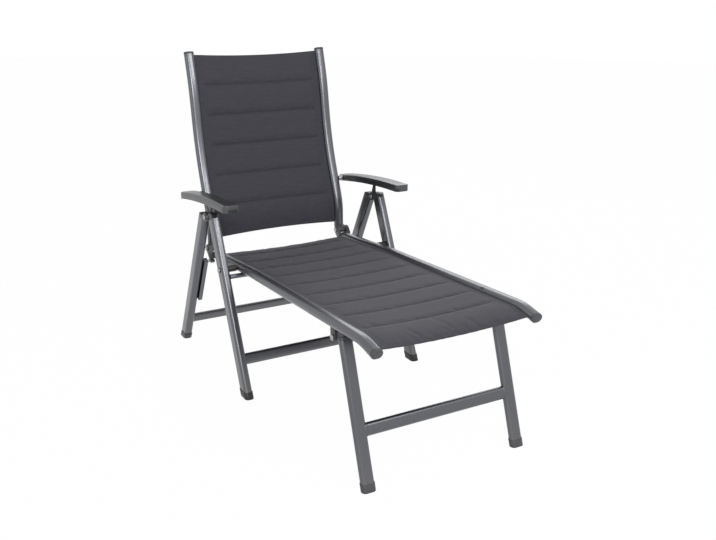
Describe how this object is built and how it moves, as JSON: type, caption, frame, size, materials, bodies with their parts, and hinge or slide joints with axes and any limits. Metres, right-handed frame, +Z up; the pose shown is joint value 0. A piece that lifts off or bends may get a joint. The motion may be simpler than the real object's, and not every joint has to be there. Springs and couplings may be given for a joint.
{
  "type": "sun lounger",
  "caption": "Folding sun lounger: quilted sling seat and reclining sling back on oval tubes, splayed folding legs, foot legs and two arched armrests.",
  "frame": {"origin": "centre of the bounding box in plan, on the floor under the feet", "axes": "+Z up, +Y from the foot end towards the back, X across the lounger"},
  "size_m": [0.702, 1.3713, 1.0806],
  "materials": {
    "frame_silver": "satin silver anthracite powder coat on aluminium tube",
    "sling_fabric": "fine matte woven mesh cloth, charcoal",
    "armrest_plastic": "matte moulded plastic, grey",
    "dark_fittings": "moulded plastic fittings, dark grey",
    "black_plastic": "black moulded plastic",
    "bolt_steel": "zinc plated steel pins and bolts",
    "strap_steel": "black painted flat steel"
  },
  "bodies": {
    "seat_frame": {"seat_rail_left": "frame_silver", "seat_rail_right": "frame_silver", "seat_nose_caps": "dark_fittings", "seat_hinge_bracket_left": "dark_fittings", "seat_hinge_bracket_right": "dark_fittings", "guide_pins": "bolt_steel", "seat_front_spreader": "frame_silver", "seat_rear_spreader": "frame_silver", "seat_sling": "sling_fabric", "seat_edge_rods": "black_plastic", "leg_pivot_bolts": "bolt_steel", "leg_pivot_bushes": "black_plastic", "foot_leg_brackets": "dark_fittings", "foot_leg_pivots": "bolt_steel", "back_hinge_pins": "bolt_steel"},
    "foot_legs": {"foot_leg_left": "frame_silver", "foot_leg_right": "frame_silver", "foot_leg_plates": "dark_fittings", "foot_crossbar": "frame_silver", "foot_leg_boots": "dark_fittings"},
    "front_legs": {"front_leg_left": "frame_silver", "front_leg_right": "frame_silver", "front_leg_heads": "dark_fittings", "front_crossbar": "frame_silver", "front_stop_tube": "frame_silver", "front_boots": "black_plastic", "latch_straps": "strap_steel", "latch_pins": "bolt_steel", "leg_joint_pins": "bolt_steel"},
    "rear_legs": {"rear_leg_left": "frame_silver", "rear_leg_right": "frame_silver", "rear_leg_heads": "dark_fittings", "rear_crossbar": "frame_silver", "rear_boots": "black_plastic", "guide_track_left": "black_plastic", "guide_track_right": "black_plastic"},
    "backrest": {"back_rail_left": "frame_silver", "back_rail_right": "frame_silver", "back_top_caps": "dark_fittings", "back_hinge_lugs": "dark_fittings", "back_upper_spreader": "frame_silver", "back_lower_spreader": "frame_silver", "back_sling": "sling_fabric", "back_edge_rods": "black_plastic"},
    "armrest_carrier_left": {"armrest_bolt_left": "bolt_steel"},
    "armrest_carrier_right": {"armrest_bolt_right": "bolt_steel"},
    "armrest_left": {"armrest_left": "armrest_plastic"},
    "armrest_right": {"armrest_right": "armrest_plastic"}
  },
  "joints": [
    {"name": "leg_fold", "type": "hinge", "parent": "seat_frame", "child": "front_legs", "pos_m": [0, 0.231, 0.393], "axis": [1, 0, 0], "range_deg": [0, 90]},
    {"name": "rear_leg_fold", "type": "hinge", "parent": "front_legs", "child": "rear_legs", "pos_m": [0, 0.337, 0.553], "axis": [1, 0, 0], "range_deg": [-50, 0]},
    {"name": "foot_leg_fold", "type": "hinge", "parent": "seat_frame", "child": "foot_legs", "pos_m": [0, -0.43922, 0.3827], "axis": [1, 0, 0], "range_deg": [0, 102]},
    {"name": "back_recline", "type": "hinge", "parent": "seat_frame", "child": "backrest", "pos_m": [0, 0.48228, 0.39604], "axis": [-1, 0, 0], "range_deg": [0, 52]},
    {"name": "arm_swing_left", "type": "hinge", "parent": "backrest", "child": "armrest_carrier_left", "pos_m": [-0.324, 0.5369, 0.58681], "axis": [-1, 0, 0], "range_deg": [-36, 0]},
    {"name": "arm_lift_left", "type": "hinge", "parent": "armrest_carrier_left", "child": "armrest_left", "pos_m": [-0.324, 0.5369, 0.58681], "axis": [-1, 0, 0], "range_deg": [0, 60]},
    {"name": "arm_swing_right", "type": "hinge", "parent": "backrest", "child": "armrest_carrier_right", "pos_m": [0.324, 0.5369, 0.58681], "axis": [-1, 0, 0], "range_deg": [-36, 0]},
    {"name": "arm_lift_right", "type": "hinge", "parent": "armrest_carrier_right", "child": "armrest_right", "pos_m": [0.324, 0.5369, 0.58681], "axis": [-1, 0, 0], "range_deg": [0, 60]}
  ],
  "couplings": [
    {"joint": "rear_leg_fold", "follows": "leg_fold", "ratio": -0.54943},
    {"joint": "arm_swing_left", "follows": "back_recline", "ratio": -0.6815},
    {"joint": "arm_lift_left", "follows": "leg_fold", "ratio": 0.66667},
    {"joint": "arm_swing_right", "follows": "back_recline", "ratio": -0.6815},
    {"joint": "arm_lift_right", "follows": "leg_fold", "ratio": 0.66667}
  ]
}
